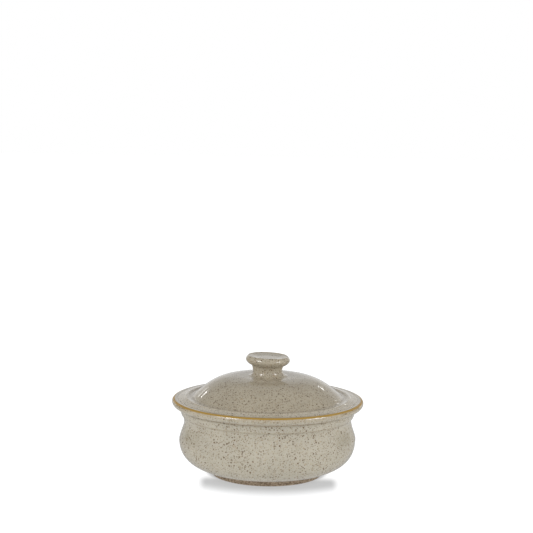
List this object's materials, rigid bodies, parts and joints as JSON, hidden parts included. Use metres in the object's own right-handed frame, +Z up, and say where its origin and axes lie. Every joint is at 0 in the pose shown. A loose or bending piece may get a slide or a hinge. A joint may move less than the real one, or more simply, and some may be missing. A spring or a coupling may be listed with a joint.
{
  "type": "lidded stew pot",
  "caption": "Round glazed stoneware stew pot: a bellied bowl on a foot ring, with a rolled rim whose gallery seats a lift-off domed lid with a dished knob.",
  "frame": {"origin": "on the table, at the middle of the foot ring", "axes": "+Z up along the axis that the pot, lid and knob were turned on; X and Y are free, because every piece is round"},
  "size_m": [0.145, 0.145, 0.0901],
  "materials": {
    "pot_glaze": "glossy speckled grey-beige glaze, amber line on the rim, bare brown foot",
    "lid_glaze": "glossy speckled grey-beige glaze"
  },
  "bodies": {
    "pot": {"pot": "pot_glaze"},
    "lid": {"lid": "lid_glaze", "knob": "lid_glaze"}
  },
  "joints": [
    {"name": "lid_lift", "type": "slide", "parent": "pot", "child": "lid", "axis": [0, 0, 1], "range_m": [0, 0.12]}
  ]
}
